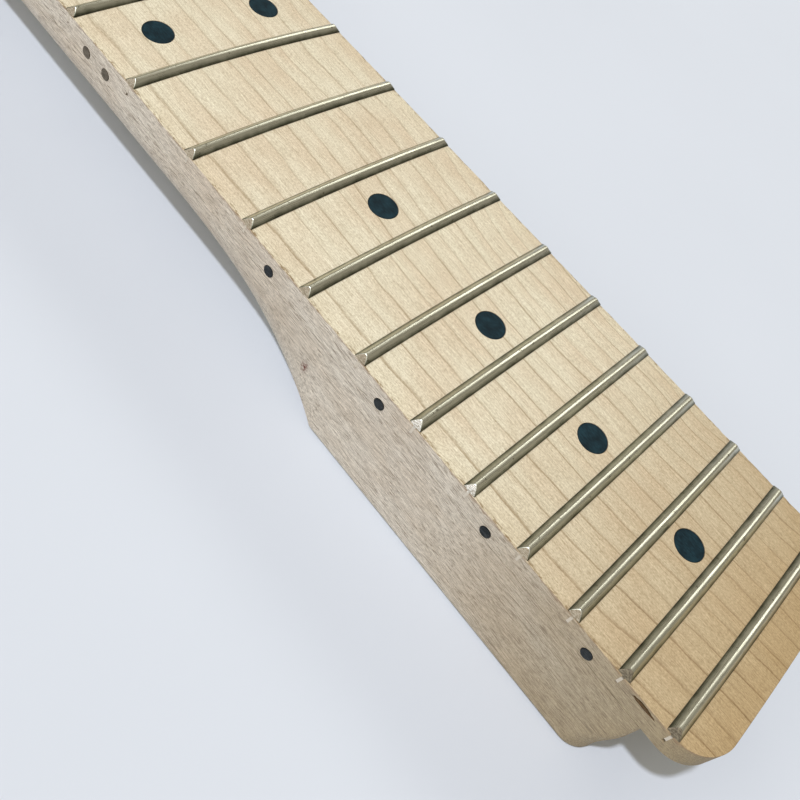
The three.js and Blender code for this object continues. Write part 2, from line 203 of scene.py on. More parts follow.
def makeCamera(p):
    data = bpy.data.cameras.new("photoCamera")
    data.sensor_width = p["sensor"]
    data.lens = p["focalPixels"] / p["imagePixels"] * p["sensor"]
    data.shift_x = (p["imagePixels"] / 2 - p["middle"][0]) / p["imagePixels"]
    data.shift_y = (p["middle"][1] - p["imagePixels"] / 2) / p["imagePixels"]
    data.clip_start, data.clip_end = p["clip"]
    camera = bpy.data.objects.new("photoCamera", data)
    axes = Matrix((p["right"], [-v for v in p["down"]], [-v for v in p["forward"]])).transposed()
    camera.matrix_world = Matrix.Translation(p["centre"]) @ axes.to_4x4()
    bpy.context.scene.collection.objects.link(camera)
    bpy.context.scene.camera = camera


makeCamera(cameraPlace)


# Sizes that several pieces share, in millimetres from the nut's face or above the floor

neckSizes = {
    "scale": 648.0,
    "frets": 22,
    "nutWidth": 43.0,
    "lastFretWidth": 57.2,
    "faceRadius": 400.0,
    "depth": 26.2,
    "boardThickness": 6.2,
    "boardPastLastFret": 8.5,
    "overhang": 11.2,
    "heelLength": 74.0,
    "markedFrets": (3, 5, 7, 9, 12, 15, 17, 19, 21),
}
depth = neckSizes["depth"]


def fretDistance(fret):
    return neckSizes["scale"] * (1 - 2 ** (-fret / 12))


lastFret = fretDistance(neckSizes["frets"])
boardEnd = lastFret + neckSizes["boardPastLastFret"]
heelEnd = boardEnd - neckSizes["overhang"]
heelStart = heelEnd - neckSizes["heelLength"]
originFromNut = heelEnd - neckSizes["heelLength"] / 2
neckTop = depth - neckSizes["boardThickness"]
taper = (neckSizes["lastFretWidth"] - neckSizes["nutWidth"]) / lastFret / 2


def along(fromNut):
    return fromNut - originFromNut


def halfWidth(fromNut):
    return neckSizes["nutWidth"] / 2 + taper * max(fromNut, 0)


def faceHeight(y):
    return depth - neckSizes["faceRadius"] + math.sqrt(neckSizes["faceRadius"] ** 2 - y * y)


# Dots lie halfway between the mark's fret and the one before it
def markDistance(fret):
    return (fretDistance(fret - 1) + fretDistance(fret)) / 2


# Materials

# Object coordinates in millimetres
def millimetres(tree):
    place = addNode(tree, "TexCoord").outputs["Object"]
    return addNode(tree, "Mapping", {"Vector": place, "Scale": (perMetre,) * 3}).outputs[0]


# Irregular patterns from a look's table: the length, width and height of a patch in millimetres, its detail and
# roughness, and a shift where two patterns must not coincide
def addPatterns(tree, place, table):
    made = {}
    for name, (size, detail, roughness, *shift) in table.items():
        spread = addNode(tree, "Mapping", {
            "Vector": place, "Scale": [1 / s for s in size], "Location": shift[0] if shift else (0, 0, 0),
        }).outputs[0]
        made[name] = addNode(tree, "TexNoise", {
            "Vector": spread, "Scale": 1.0, "Detail": detail, "Roughness": roughness,
        }).outputs["Fac"]
    return made


# Spreads each pattern from its low and high limit to the share at each, and multiplies the shares
def weigh(tree, *rows, share=None):
    for pattern, (low, high, start, end, *ease) in rows:
        factor = addNode(tree, "MapRange", {
            "Value": pattern, "From Min": low, "From Max": high, "To Min": start, "To Max": end,
        }, interpolation_type=ease[0] if ease else "LINEAR").outputs[0]
        if share:
            factor = addNode(tree, "Math", {0: share, 1: factor}, operation="MULTIPLY").outputs[0]
        share = factor
    return share


# Lays one of the look's tones over the last one by its layer's limits. Returns the new tone and its share.
def layTone(tree, tone, look, name, pattern):
    share = weigh(tree, (pattern, look["layers"][name]))
    return addNode(tree, "Mix", {0: share, 6: tone, 7: linear(look[name])}, data_type="RGBA").outputs[2], share


# Height with the board's round taken off, so the whole face lies at the neck's depth
def flatHeight(tree, axes):
    sag = addNode(tree, "Math", {0: axes["Y"], 1: axes["Y"]}, operation="MULTIPLY").outputs[0]
    return addNode(tree, "Math", {0: sag, 1: 1 / (2 * neckSizes["faceRadius"]), 2: axes["Z"]},
                   operation="MULTIPLY_ADD").outputs[0]


# Raw sanded maple: pale, matt, fine lengthwise fibres with short darker pores, and thin brown growth lines
mapleLook = {
    "grain": {
        "fibres": ((5.0, 0.19, 0.19), 3.0, 0.6),  # real fibres are finer, drawn as coarse as the picture can show
        "pores": ((2.6, 0.105, 0.105), 1.0, 0.5, (31, 17, 5)),
    },
    "clouds": {
        "mottle": ((18.333, 11.0, 11.0), 2.0, 0.5),
        "fuzz": ((0.44444, 0.2, 0.2), 3.0, 0.65),
    },
    "swaySize": 18,
    "sway": (0.0, 1.6, 1.6),  # how far the fibres wander along, across and up
    "fibreRange": (0.62, 1.38, 0.0, 1.0),
    "ior": 1.45,
}


# Object coordinates in millimetres, the same swayed, and the patterns that both maple finishes use
def mapleGrain(tree, look, patterns):
    inMm = millimetres(tree)
    drift = addNode(tree, "TexNoise", {
        "Vector": inMm, "Scale": 1 / look["swaySize"], "Detail": 1.0,
    }).outputs["Color"]
    swayed = addNode(tree, "VectorMath", {0: drift, 1: (0.5,) * 3}, operation="SUBTRACT").outputs[0]
    for operation, other in (("MULTIPLY", look["sway"]), ("ADD", inMm)):
        swayed = addNode(tree, "VectorMath", {0: swayed, 1: other}, operation=operation).outputs[0]
    grain = addPatterns(tree, swayed, look["grain"])
    grain.update(addPatterns(tree, inMm, {**look["clouds"], **patterns}))
    return inMm, swayed, grain


# Brown in the low fibres and paler on the raised ones
def fibreTint(tree, tone, streak, look):
    share = weigh(tree, (streak, mapleLook["fibreRange"]))
    tint = addNode(tree, "Mix", {0: share, 6: (*look["lowFibre"], 1), 7: (*look["highFibre"], 1)},
                   data_type="RGBA").outputs[2]
    return addNode(tree, "VectorMath", {0: tone, 1: tint}, operation="MULTIPLY").outputs[0]


faceMapleLook = {
    "light": "#E4DBC2",
    "rosy": "#DAC8AC",
    "yellow": "#E0D0A8",
    # painted shade: the face turns darker and browner towards the body end
    "shadedBodyEnd": "#B09466",
    "pore": "#A58D6A",
    "edge": "#BFA982",
    "torn": "#8A7350",
    "layers": {
        "rosy": (0.45, 0.8, 0.0, 0.75),
        "yellow": (0.0, 4.0, 0.12, 0.0, "SMOOTHSTEP"),
        # painted shade, growing from x = -14 towards the body end
        "shadedBodyEnd": (-14, 46, 0.0, 0.88),
        "pore": (0.66, 0.74, 0.0, 0.35),
        "edge": (0.0, 0.5, 0.0, 0.6),
        "torn": (0.0, 1.0, 0.0, 1.0),
    },
    "patterns": {
        "wander": ((64, 16, 16), 2.0, 0.5),
        "ripple": ((5, 5, 5), 1.0, 0.5),
        "bulge": ((17, 28.333, 17), 0.0, 0.5, (0.2353, 0, 0)),
        "faint": ((28, 7, 14), 1.0, 0.5),
        "ragged": ((1.8182, 0.4545, 0.4545), 3.0, 0.7),
    },
    # Growth lines run along the board, dip towards the bass side before the heel, rise again after it, and
    # bulge on the treble half: the axis, where each starts and ends, and its size there
    "bends": {
        "dip": ("X", -88, -14, 0, 1, "SMOOTHSTEP"),
        "rise": ("X", 2, 55, 0, -3.5, "SMOOTHSTEP"),
        "bulge": ("Y", -2, 20, 0, 6, "SMOOTHSTEP"),
    },
    "dipReach": (0.2, 5.6),
    "wander": 5.0,
    "ripple": 0.7,
    "ringSpacing": 5.7,
    "ringUneven": 9,
    "ringTint": (0.54, 0.46, 0.36),
    "ringLine": [
        (0.0, "#FFFFFF"), (0.03, "#F0F0F0"), (0.055, "#A8A8A8"), (0.09, "#585858"), (0.3, "#202020"),
        (0.5, "#0C0C0C"), (0.515, "#A0A0A0"), (0.54, "#404040"), (0.8, "#000000"), (0.98, "#303030"),
        (1.0, "#FFFFFF"),
    ],
    "ringStrength": (0.3, 0.6, 0.42, 0.86),
    "ringAlong": (-120, -30, 0.65, 1.0),
    "rosyBand": (0.25, 1.0, 0.0, 0.2),
    "fuzzShare": (1.5, -0.25),
    "edgeReach": (2.6, -0.95),
    "tornSpecks": (0.52, 0.6, 0.0, 1.0),
    "tornInside": (0.2, 0.9, 0.9, 0.0),
    "lowFibre": (0.70, 0.66, 0.58),
    "highFibre": (1.26, 1.30, 1.33),
    "roughness": 0.66,
    "relief": (0.5, 0.1),
}


def makeFaceMaple(look):
    material, tree = newMaterial("sanded_maple_face")
    inMm, _, grain = mapleGrain(tree, mapleLook, look["patterns"])
    axes = addNode(tree, "SeparateXYZ", {0: inMm}).outputs
    bends = {name: weigh(tree, (axes[axis], limits)) for name, (axis, *limits) in look["bends"].items()}
    slope, offset = look["dipReach"]
    dipReach = addNode(tree, "Math", {0: axes["Y"], 1: slope, 2: offset}, operation="MULTIPLY_ADD").outputs[0]
    across = axes["Y"]
    for pattern, reach in (
        (bends["dip"], dipReach), (bends["rise"], 1.0), (grain["wander"], look["wander"]),
        (grain["ripple"], look["ripple"]), (grain["bulge"], bends["bulge"]),
    ):
        across = addNode(tree, "Math", {0: pattern, 1: reach, 2: across}, operation="MULTIPLY_ADD").outputs[0]
    uneven = addNode(tree, "TexNoise", {"W": across, "Scale": 1 / look["ringUneven"]},
                     noise_dimensions="1D").outputs["Fac"]
    rings = addNode(tree, "Math", {0: across, 1: 1 / look["ringSpacing"], 2: uneven},
                    operation="MULTIPLY_ADD").outputs[0]
    rings = addNode(tree, "Math", {0: rings}, operation="FRACT").outputs[0]
    lines = addNode(tree, "ValToRGB", {0: rings}, stops=look["ringLine"]).outputs["Color"]
    ringShare = weigh(tree, (grain["faint"], look["ringStrength"]), (axes["X"], look["ringAlong"]), share=lines)

    # Each year's band starts pale and ends rosy
    band = weigh(tree, (rings, look["rosyBand"]))
    rosy = addNode(tree, "Math", {0: band, 1: grain["mottle"]}, operation="ADD").outputs[0]
    fromMiddle = addNode(tree, "Math", {0: axes["Y"]}, operation="ABSOLUTE").outputs[0]
    edge = addNode(tree, "Math", {
        0: axes["X"], 1: taper, 2: neckSizes["nutWidth"] / 2 + taper * originFromNut,
    }, operation="MULTIPLY_ADD").outputs[0]
    inside = addNode(tree, "Math", {0: edge, 1: fromMiddle}, operation="SUBTRACT").outputs[0]
    tone = linear(look["light"])
    # The body end is darkened with painted shade
    for name, pattern in (("rosy", rosy), ("yellow", inside), ("shadedBodyEnd", axes["X"])):
        tone = layTone(tree, tone, look, name, pattern)[0]
    ringTint = addNode(tree, "Mix", {0: ringShare, 6: (1, 1, 1, 1), 7: (*look["ringTint"], 1)},
                       data_type="RGBA").outputs[2]
    tone = addNode(tree, "VectorMath", {0: tone, 1: ringTint}, operation="MULTIPLY").outputs[0]
    share, offset = look["fuzzShare"]
    streak = addNode(tree, "Math", {0: grain["fuzz"], 1: share, 2: offset}, operation="MULTIPLY_ADD").outputs[0]
    streak = addNode(tree, "Math", {0: grain["fibres"], 1: streak}, operation="ADD").outputs[0]
    tone = fibreTint(tree, tone, streak, look)

    # The sawn edge is torn: a darker line with brown specks just inside it
    share, offset = look["edgeReach"]
    reach = addNode(tree, "Math", {0: grain["ragged"], 1: share, 2: offset}, operation="MULTIPLY_ADD").outputs[0]
    reach = addNode(tree, "Math", {0: reach, 1: inside}, operation="SUBTRACT").outputs[0]
    specks = weigh(tree, (grain["ragged"], look["tornSpecks"]), (inside, look["tornInside"]))
    for name, pattern in (("pore", grain["pores"]), ("edge", reach), ("torn", specks)):
        tone = layTone(tree, tone, look, name, pattern)[0]
    height = addNode(tree, "Math", {0: streak, 1: grain["pores"]}, operation="SUBTRACT").outputs[0]
    surface = {"Base Color": tone, "Roughness": look["roughness"], "IOR": mapleLook["ior"]}
    closeMaterial(tree, surface, height, look["relief"])
    return material


sideMapleLook = {
    "light": "#DDD5C7",
    "rosy": "#D0C0AB",
    "ring": "#BFB09C",
    # painted shade: the sides and heel turn darker and browner towards the body end
    "shadedBodyEnd": "#9A8862",
    "pore": "#75644F",
    "knot": "#6A3526",
    "torn": "#94795C",
    "layers": {
        "rosy": (0.4, 0.7, 0.0, 0.7),
        "ring": (0.0, 1.0, 0.0, 0.5),
        "shadedBodyEnd": (-20, 46, 0.0, 0.85, "SMOOTHSTEP"),  # painted shade: darker and browner towards the body end
        "pore": (0.54, 0.61, 0.0, 0.68),
        "knot": (0.0, 0.5882, 0.0, 1.0),
        "torn": (0.0, 0.4, 0.0, 0.55),
    },
    "patterns": {
        "rays": ((0.55, 0.55, 0.55), 2.0, 0.5),
        "ragged": ((1.6667, 0.5, 0.5), 3.0, 0.7),
    },
    "pith": (0, 14, 70),
    "pithSlope": 0.06,
    "ringSpacing": 3.8,
    "ringWander": 0.8,
    "ringLine": [
        (0.0, "#D0D0D0"), (0.08, "#707070"), (0.5, "#101010"), (0.97, "#202020"), (1.0, "#D0D0D0"),
    ],
    "knotPlace": (-44.0, 11.3),
    "knotStretch": (1.3, 0.62),
    "knotFade": (0.1, 1.5, 1.0, 0.0),
    "knotRays": (0.42, 0.58, 0.3, 1.5),
    "bassSide": (-14, -16, 0.0, 1.0),
    "tornReach": (2.6, -0.72),
    "lowFibre": (0.62, 0.59, 0.54),
    "highFibre": (1.33, 1.33, 1.32),
    "roughness": 0.7,
    "relief": (0.5, 0.12),
}


# The neck's sides, heel and back are the same maple before finishing, greyer, with open pores and one small knot
def makeSideMaple(look, name):
    material, tree = newMaterial(name)
    _, swayed, grain = mapleGrain(tree, mapleLook, look["patterns"])
    axes = addNode(tree, "SeparateXYZ", {0: swayed}).outputs
    # Growth rings about a pith far below the neck, so the sides show long lines and the back shows arches
    fromPith = addNode(tree, "Mapping", {
        "Vector": swayed, "Location": look["pith"], "Scale": (look["pithSlope"], 1, 1),
    }).outputs[0]
    radius = addNode(tree, "VectorMath", {0: fromPith}, operation="LENGTH").outputs["Value"]
    rings = addNode(tree, "Math", {0: radius, 1: 1 / look["ringSpacing"]}, operation="MULTIPLY").outputs[0]
    rings = addNode(tree, "Math", {0: grain["mottle"], 1: look["ringWander"], 2: rings},
                    operation="MULTIPLY_ADD").outputs[0]
    rings = addNode(tree, "Math", {0: rings}, operation="FRACT").outputs[0]
    lines = addNode(tree, "ValToRGB", {0: rings}, stops=look["ringLine"]).outputs["Color"]
    tone = linear(look["light"])
    # Painted shade darkens the body end
    for layer, pattern in (("rosy", grain["mottle"]), ("ring", lines), ("shadedBodyEnd", axes["X"])):
        tone = layTone(tree, tone, look, layer, pattern)[0]
    streak = addNode(tree, "Math", {0: grain["fibres"], 1: grain["fuzz"]}, operation="ADD").outputs[0]
    tone = fibreTint(tree, tone, streak, look)

    (knotX, knotZ), (wide, high) = look["knotPlace"], look["knotStretch"]
    spot = addNode(tree, "Mapping", {
        "Vector": swayed, "Location": (-knotX * wide, 0, -knotZ * high), "Scale": (wide, 0, high),
    }).outputs[0]
    fromKnot = addNode(tree, "VectorMath", {0: spot}, operation="LENGTH").outputs["Value"]
    knot = weigh(tree, (fromKnot, look["knotFade"]), (grain["rays"], look["knotRays"]),
                 (axes["Y"], look["bassSide"]), share=grain["fibres"])
    # A torn brown line runs just under the board's face
    below = addNode(tree, "Math", {0: depth, 1: flatHeight(tree, axes)}, operation="SUBTRACT").outputs[0]
    share, offset = look["tornReach"]
    reach = addNode(tree, "Math", {0: grain["ragged"], 1: share, 2: offset}, operation="MULTIPLY_ADD").outputs[0]
    reach = addNode(tree, "Math", {0: reach, 1: below}, operation="SUBTRACT").outputs[0]
    for layer, pattern in (("pore", grain["pores"]), ("knot", knot), ("torn", reach)):
        tone = layTone(tree, tone, look, layer, pattern)[0]
    height = addNode(tree, "Math", {0: grain["fibres"], 1: grain["pores"]}, operation="SUBTRACT").outputs[0]
    surface = {"Base Color": tone, "Roughness": look["roughness"], "IOR": mapleLook["ior"]}
    closeMaterial(tree, surface, height, look["relief"])
    return material


# Where a splinter tore out, the rough hollow is painted dark brown as the shade that falls in it
splinterShadeMapleLook = {**sideMapleLook, "light": "#6E5232", "ring": "#4A361F", "rosy": "#5E452A", "shadedBodyEnd": "#57401F"}


# Drawn nickel silver wire: warm grey metal, brightest along the crown; darker and olive down the flanks and at
# the foot by the wood, which is painted shade and dull reflection, with some dirt at the foot
fretMetalLook = {
    # Tones by height on the wire: the dark foot and darker flanks are painted shade and reflection
    "tones": [(0.32, "#30312A"), (0.56, "#777A69"), (1.0, "#D8D9CA")],
    "tonesFollow": "wear",
    "nick": "#5E5B48",
    "dust": "#C8BFAE",  # wood dust dulls the tang's ends, below the face
    "layers": {
        "nick": (0.71, 0.76, 0.0, 0.6),
        "dust": (depth - 0.5, depth - 0.1, 0.9, 0.0),
    },
    "patterns": {
        "scratches": ((0.14, 6.0, 0.14), 2.0, 0.5),
        "cloud": ((2.5, 2.5, 2.5), 3.0, 0.5),
        "nicks": ((0.9, 0.9, 0.9), 1.0, 0.5),
    },
    "crownHeight": 1.15,
    "cloudShare": 0.5,
    "nickDepth": -2.0,
    "bare": 1.0,
    "scratchRange": (0.3, 0.7),
    "roughness": (0.24, 0.38),
    "relief": (0.03, 0.05),
}
# The bevelled ends are filed across: pale and rough, some dusty, and two of them painted dark as the shade that
# falls over the board's end
filedMetalLook = {
    **fretMetalLook,
    "tones": [(0.4, "#BDB6A6"), (0.6, "#F4F2EA")],
    "tonesFollow": "scratches",
    "patterns": {**fretMetalLook["patterns"], "scratches": ((0.44, 0.22, 0.1375), 2.0, 0.5)},
    "roughness": (0.45, 0.62),
    "relief": (0.7, 0.12),
}
dulledMetalLook = {**filedMetalLook, "tones": [(0.4, "#93866F"), (0.6, "#BDB29C")], "bare": 0.35}
# Painted shade: the ends of the last two frets are dark because shade lies over the board's end there
shadedEndMetalLook = {**dulledMetalLook, "tones": [(0.4, "#5C5342"), (0.6, "#8C826C")]}


def makeFretMetal(look, name):
    material, tree = newMaterial(name)
    inMm = millimetres(tree)
    axes = addNode(tree, "SeparateXYZ", {0: inMm}).outputs
    marks = addPatterns(tree, inMm, look["patterns"])
    rise = flatHeight(tree, axes)
    # Tone by height with random cloud: painted shade and reflection low on the wire, bright at the crown
    high = weigh(tree, (rise, (depth, depth + look["crownHeight"], 0.0, 1.0)))
    marks["wear"] = addNode(tree, "Math", {0: marks["cloud"], 1: look["cloudShare"], 2: high},
                            operation="MULTIPLY_ADD").outputs[0]
    tone = addNode(tree, "ValToRGB", {0: marks[look["tonesFollow"]]}, stops=look["tones"]).outputs["Color"]
    tone, nicked = layTone(tree, tone, look, "nick", marks["nicks"])
    tone, dusty = layTone(tree, tone, look, "dust", rise)
    metallic = addNode(tree, "Math", {0: look["bare"], 1: dusty}, operation="SUBTRACT", use_clamp=True).outputs[0]
    rough = weigh(tree, (marks["scratches"], (*look["scratchRange"], *look["roughness"])))
    height = addNode(tree, "Math", {0: nicked, 1: look["nickDepth"], 2: marks["scratches"]},
                     operation="MULTIPLY_ADD").outputs[0]
    closeMaterial(tree, {"Base Color": tone, "Metallic": metallic, "Roughness": rough}, height, look["relief"])
    return material


# Moulded black dots, sanded flush with the wood: dark blue-black with a faint haze of fine scratches
dotLook = {
    "name": "moulded_black_dot",
    "base": "#0D1F26",
    "fleck": "#1C3841",
    "layers": {"fleck": (0.12, 0.42, 0.0, 1.0)},
    "patterns": {"grit": ((0.8333, 0.25, 0.25), 2.0, 0.5), "cloud": ((2.2, 2.2, 2.2), 2.0, 0.5)},
    "surface": {"Roughness": 0.55, "Specular IOR Level": 0.12},
    "relief": (0.15, 0.03),
}
dustyDotLook = {**dotLook, "name": "dusty_black_dot", "base": "#554D42", "fleck": "#7A7162"}
sideDotLook = {**dotLook, "name": "worn_side_dot", "base": "#15191B", "fleck": "#3C4042"}

# Bleached bone: warm white with faint lengthwise flecks and a soft polish
boneLook = {
    "name": "bleached_bone",
    "base": "#EFE9DA",
    "fleck": "#D8CCB0",
    "layers": {"fleck": (0.45, 0.7, 0.0, 0.7)},
    "patterns": {"flecks": ((0.35, 2.5, 0.35), 3.0, 0.5)},
    "surface": {"Roughness": 0.4, "Subsurface Weight": 0.15, "Subsurface Radius": (0.001, 0.0007, 0.0004)},
    "relief": (0.12, 0.05),
}

# Turned steel of the truss rod: fine tool marks round the rod, darker and rougher in the low spots
steelLook = {
    "name": "turned_steel",
    "base": "#8C8F94",
    "fleck": "#5B5D61",
    "layers": {"fleck": (0.0, 1.0, 0.0, 1.0)},
    "patterns": {"marks": ((0.4, 16.667, 16.667), 3.0, 0.5)},
    "surface": {"Metallic": 1.0},
    "roughness": (0.0, 1.0, 0.3, 0.5),
    "relief": (0.2, 0.05),
}
# Cut brass of the rod's end blocks, with the same marks
brassLook = {**steelLook, "name": "cut_brass", "base": "#C2A765", "fleck": "#8F7640"}


# Dots, bone, steel and brass: one tone flecked with another where the look's patterns meet
def makeFlecked(look):
    material, tree = newMaterial(look["name"])
    first, *others = addPatterns(tree, millimetres(tree), look["patterns"]).values()
    flecks = first
    for other in others:
        flecks = addNode(tree, "Math", {0: flecks, 1: other}, operation="MULTIPLY").outputs[0]
    tone, share = layTone(tree, linear(look["base"]), look, "fleck", flecks)
    surface = {"Base Color": tone, **look["surface"]}
    if "roughness" in look:
        surface["Roughness"] = weigh(tree, (share, look["roughness"]))
    closeMaterial(tree, surface, first, look["relief"])
    return material


faceMaple = makeFaceMaple(faceMapleLook)
sideMaple = makeSideMaple(sideMapleLook, "raw_maple_side")
splinterShadeMaple = makeSideMaple(splinterShadeMapleLook, "torn_maple_shaded")
fretMetal = makeFretMetal(fretMetalLook, "drawn_nickel_silver")
filedMetal = makeFretMetal(filedMetalLook, "filed_nickel_silver")
dulledMetal = makeFretMetal(dulledMetalLook, "dusty_filed_nickel_silver")
shadedEndMetal = makeFretMetal(shadedEndMetalLook, "shaded_filed_nickel_silver")
dotPlastic, dustyDot, sideDot = (makeFlecked(look) for look in (dotLook, dustyDotLook, sideDotLook))
bone, steel, brass = (makeFlecked(look) for look in (boneLook, steelLook, brassLook))
print("materials made:", len(bpy.data.materials))


# Neck shaft, heel and headstock in one carved piece of maple

neckLook = {
    "heelCornerRadius": (5.0, 0.8),  # at the underside, and under the board
    "heelCornerHeights": (2.0, 16.0),
    "heelEdgeRadius": 1.3,
    "heelEndRound": 0.5,
    "depthAtNut": 20.6,
    "depthAtTwelfth": 22.2,
    "shoulderDrop": 0.8,
    "heelCarveLength": 50.0,
    "heelCarvePower": 2.15,
    "headThickness": 14.5,
    "headEdgeRadius": 1.4,
    "headEdgeGrowth": (25.0, 20.0),  # over this length it grows in, at the top and at the back
    "headCarveLength": 36.0,
    "headCarveInsideNut": 10.0,
    "rampRadius": 22.0,
    "shelfEnd": 8.7,
    "flareStart": 4.0,
    "flareLength": 30.0,
    "tunerSpacing": 24.5,
    "tunerHoleRadius": 5.0,
    "firstTuner": 38.0,
    "stringSpacing": 7.1,
    "postOffset": 2.75,
    "edgeFromTuners": 13.5,
    "tipFromLastTuner": 10.0,
    "tipRadius": 16.0,
    "pilotRadius": 1.5,
    "pilotDepth": 17.0,
    "pilotSpacing": (50.8, 38.1),
    "accessWidth": 9.0,
    "accessFloor": 10.7,
    "accessStart": 4.15,
    "accessLength": 44.0,
    "rodChannelWidth": 6.6,
    "rodChannelFloor": 8.9,
    "rodChannelStart": 4.25,
    "rodChannelToHeelEnd": 14.0,
    # Points of a section: half the top, its rim, half the back, and of these last the heel's wall and corner
    "points": (5, 5, 22, 8, 7),
    # Sections of the headstock, the ramp, the shaft, the carve and the heel, then their places before each end
    "sections": (28, 40, 40, 40, 10),
    "shaftStart": 12,
    "tipSections": (0.02, 0.15, 0.4, 0.8, 1.3),
    "heelSections": (0.35, 0.22, 0.12, 0.05, 0.015, 0.0),
}
n = neckLook
tunerSide = n["stringSpacing"] / n["tunerSpacing"]
tunerAlong = math.sqrt(1 - tunerSide ** 2)
firstTunerOut = n["stringSpacing"] * 2.5 + n["postOffset"]
tuners = [(n["firstTuner"] + k * n["tunerSpacing"] * tunerAlong,
           firstTunerOut - k * n["tunerSpacing"] * tunerSide) for k in range(6)]
tipCentre = tuners[-1][0] + n["tipFromLastTuner"]
rampHeight = n["headThickness"] + n["rampRadius"]
rampCentre = n["shelfEnd"] + math.sqrt(n["rampRadius"] ** 2 - (rampHeight - depth) ** 2)


def bassLine(u):
    return firstTunerOut + n["edgeFromTuners"] / tunerAlong - (u - n["firstTuner"]) * tunerSide / tunerAlong


tipToBass = bassLine(tipCentre) - n["tipRadius"] / tunerAlong


# How far the wood reaches to the bass and to the treble side, u millimetres behind the nut
def headEdges(u):
    half = neckSizes["nutWidth"] / 2
    bass = half + (bassLine(u) - half) * smoothShare((u - n["flareStart"]) / n["flareLength"])
    trebleTip = n["tipRadius"] - tipToBass
    treble = half + (trebleTip - half) * smoothShare((u - n["flareStart"]) / (tipCentre - n["flareStart"]))
    around = math.sqrt(max(n["tipRadius"] ** 2 - (u - tipCentre) ** 2, 0)) if u > tipCentre else n["tipRadius"]
    if u > tipCentre + n["tipRadius"] * tunerSide:
        bass = tipToBass + around
    if u > tipCentre:
        treble = around - tipToBass
    return bass, treble


def topHeight(u):
    if u >= rampCentre:
        return n["headThickness"]
    ramp = rampHeight - math.sqrt(max(n["rampRadius"] ** 2 - (rampCentre - u) ** 2, 0))
    return min(neckTop, ramp) if u > n["shelfEnd"] else neckTop


# 0 where the back is a rounded C, 1 at the flat heel and at the flat headstock
def squareness(fromNut):
    heel = 1 - min(max((heelStart - fromNut) / n["heelCarveLength"], 0), 1)
    head = smoothShare((n["headCarveInsideNut"] - fromNut) / n["headCarveLength"])
    return max(heel ** n["heelCarvePower"], head)


# How much narrower the heel is at this height, where its two upright corners are rounded
def heelPull(fromNut, z):
    low, high = n["heelCornerHeights"]
    radius = blendOf(*n["heelCornerRadius"], smoothShare((z - low) / (high - low)))
    return roundedIn(radius, heelEnd - fromNut)


def neckSection(fromNut):
    u = -fromNut
    square = squareness(fromNut)
    bass, treble = headEdges(u) if u > 0 else (halfWidth(fromNut), halfWidth(fromNut))
    half, middle = (bass + treble) / 2, (treble - bass) / 2
    top = topHeight(u)
    shaftDepth = blendOf(n["depthAtNut"], n["depthAtTwelfth"], max(fromNut, 0) / fretDistance(12))
    back = (depth - shaftDepth) * (1 - square)
    atTop, atBack = n["headEdgeGrowth"]
    rim = n["headEdgeRadius"] * smoothShare((u - n["shelfEnd"]) / atTop)
    corner = blendOf(n["heelEdgeRadius"], n["headEdgeRadius"], smoothShare(u / atBack))
    # The last millimetre before either end is rounded in too
    toEnd = min(heelEnd - fromNut, tipCentre + n["tipRadius"] - u)
    shrink = roundedIn(n["heelEndRound"] if fromNut > 0 else n["headEdgeRadius"], toEnd)
    back += shrink
    top -= shrink if u > 0 else 0
    shoulder = top - n["shoulderDrop"]
    down = shoulder - back
    widest = 0.8 * half
    rim, corner = min(rim, widest), min(corner, widest)
    flatTop, rounded, count, wall, arc = n["points"]
    points = [((half - rim) * i / flatTop, top) for i in range(flatTop)]
    for i in range(rounded):  # the rim is sharp where the fretboard sits on it
        angle = math.pi / 2 * i / (rounded - 1)
        points.append((half - rim * (1 - math.sin(angle)), top - rim * (1 - math.cos(angle))))
    for i in range(1, count + 1):
        angle = math.pi / 2 * (1 - i / count)
        shaft = (half * math.sin(angle), down * math.cos(angle))
        if i <= wall:
            flat = (half, (down - corner) * i / wall)
        elif i <= wall + arc:
            turn = math.pi / 2 * (i - wall) / arc
            flat = (half - corner * (1 - math.cos(turn)), down - corner * (1 - math.sin(turn)))
        else:
            flat = ((half - corner) * (1 - (i - wall - arc) / (count - wall - arc)), down)
        points.append((blendOf(shaft[0], flat[0], square), shoulder - blendOf(shaft[1], flat[1], square)))
    if u < 0:
        points = [(out * (1 - heelPull(fromNut, z) / half), z) for out, z in points]
    x = along(fromNut)
    right = [(x, middle + out, z) for out, z in points]
    left = [(x, middle - out, z) for out, z in points[-2:0:-1]]
    return right + left


def neckStations():
    wide = n["heelCornerRadius"][0]
    cornerStart = heelEnd - wide
    stations = [cornerStart]
    stations += [cornerStart + wide * math.sin(math.radians(a)) for a in range(6, 72, 6)]
    stations += [heelEnd - d for d in n["heelSections"]]
    stations += [-tipCentre - n["tipRadius"] * math.sin(math.radians(a)) for a in range(88, 0, -4)]
    stations += [d - tipCentre - n["tipRadius"] for d in n["tipSections"]]
    marks = [-tipCentre, -rampCentre, n["shaftStart"], heelStart - n["heelCarveLength"], heelStart, cornerStart]
    for start, end, count in zip(marks, marks[1:], n["sections"]):
        stations += steps(start, end, count)
    return sorted({round(station, 4) for station in stations})


